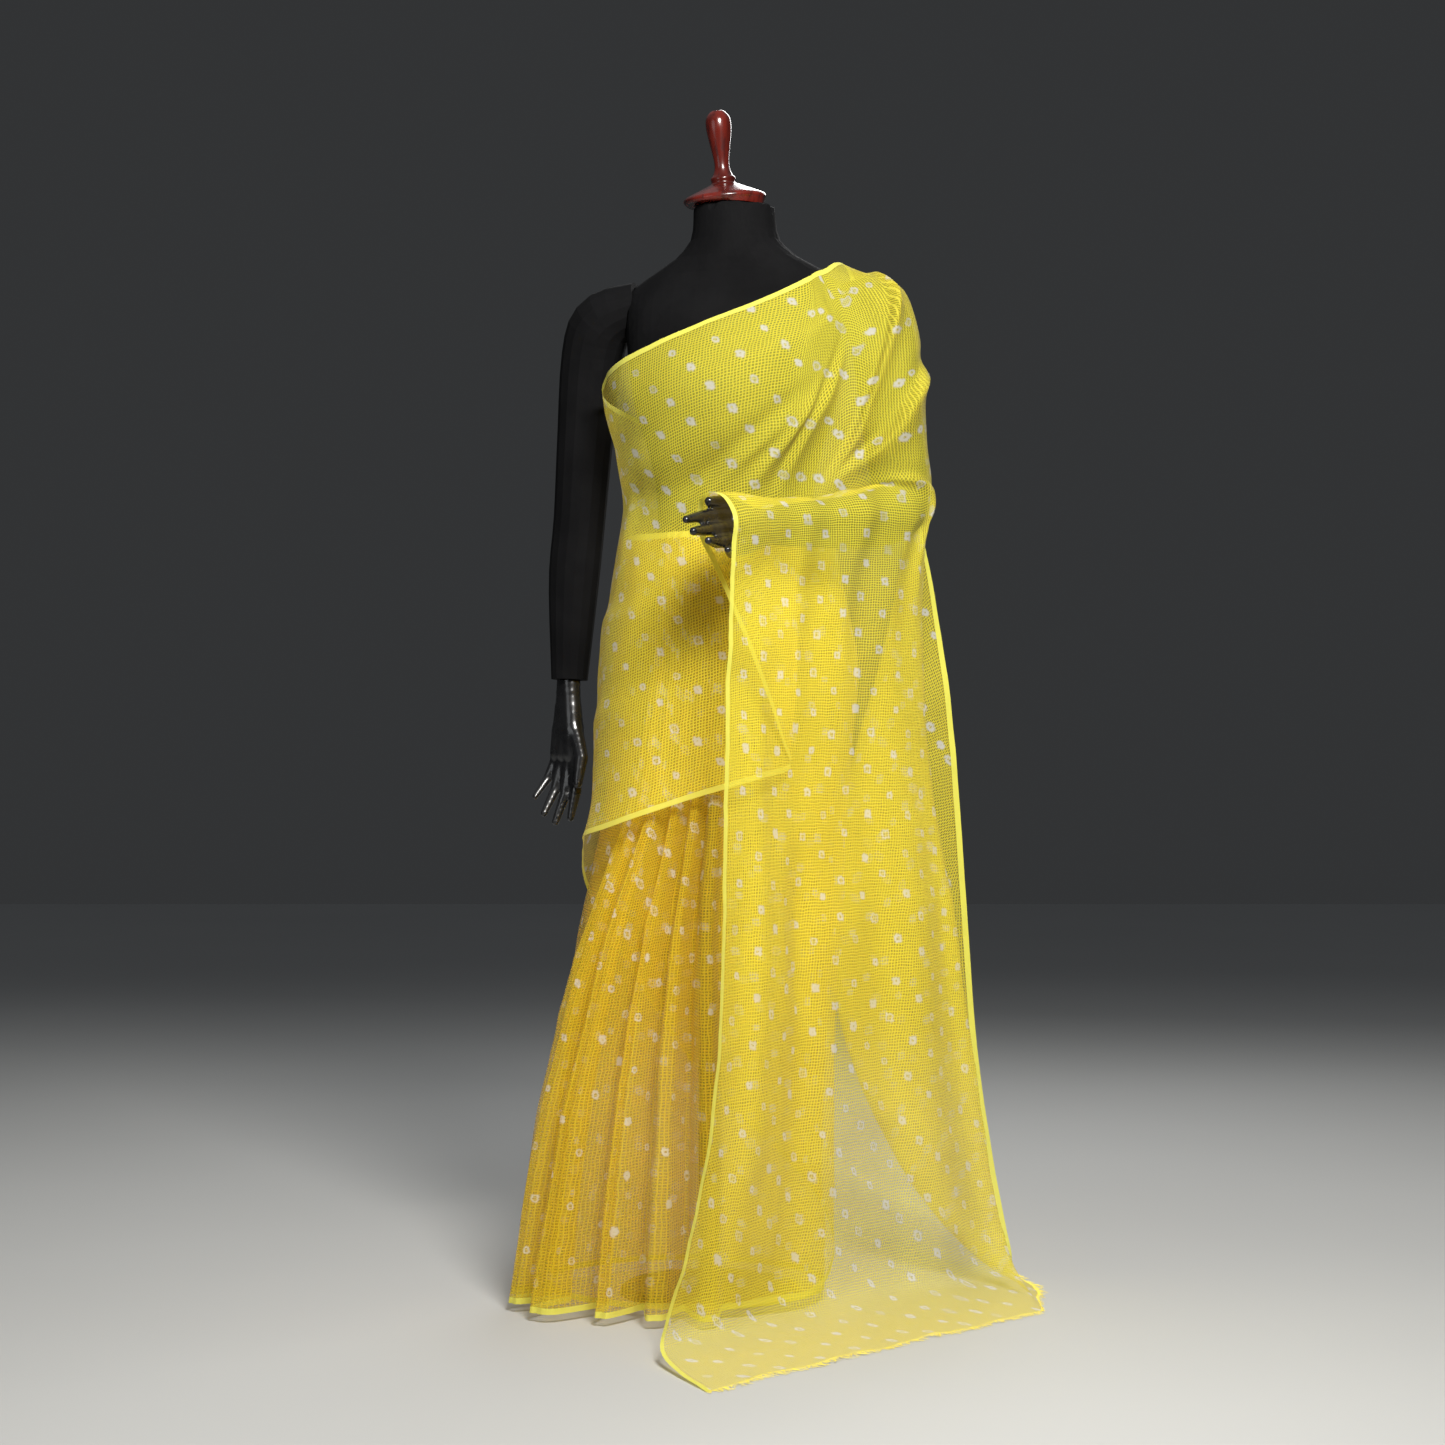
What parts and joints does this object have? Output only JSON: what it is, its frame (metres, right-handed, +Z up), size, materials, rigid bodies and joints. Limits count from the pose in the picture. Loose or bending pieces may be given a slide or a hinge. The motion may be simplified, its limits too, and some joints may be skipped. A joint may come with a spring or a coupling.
{
  "type": "bandhani sari on dress form",
  "caption": "Sheer sari in one uncut length, wrapped, pleated at the front and let fall over one arm of a plain dress form on a round base.",
  "frame": {"origin": "on the floor under the middle of the form, on the underside of the round base", "axes": "+Z up along the form, +X towards the side of the raised arm, -Y towards the spread end of the cloth"},
  "size_m": [0.7308, 0.816, 1.6533],
  "materials": {
    "cloth": "sheer yellow cotton with white tied dots",
    "form_cover": "matte black knit cover",
    "hand_gloss": "glossy black",
    "cap_wood": "glossy dark red lacquer",
    "stand_metal": "satin black paint"
  },
  "bodies": {
    "root": {"sari": "cloth", "form_body": "form_cover", "arm_right": "form_cover", "arm_left": "form_cover", "hand_right": "hand_gloss", "hand_left": "hand_gloss", "neck_cap": "cap_wood", "stand_pole": "stand_metal", "stand_base": "stand_metal"}
  },
  "joints": []
}
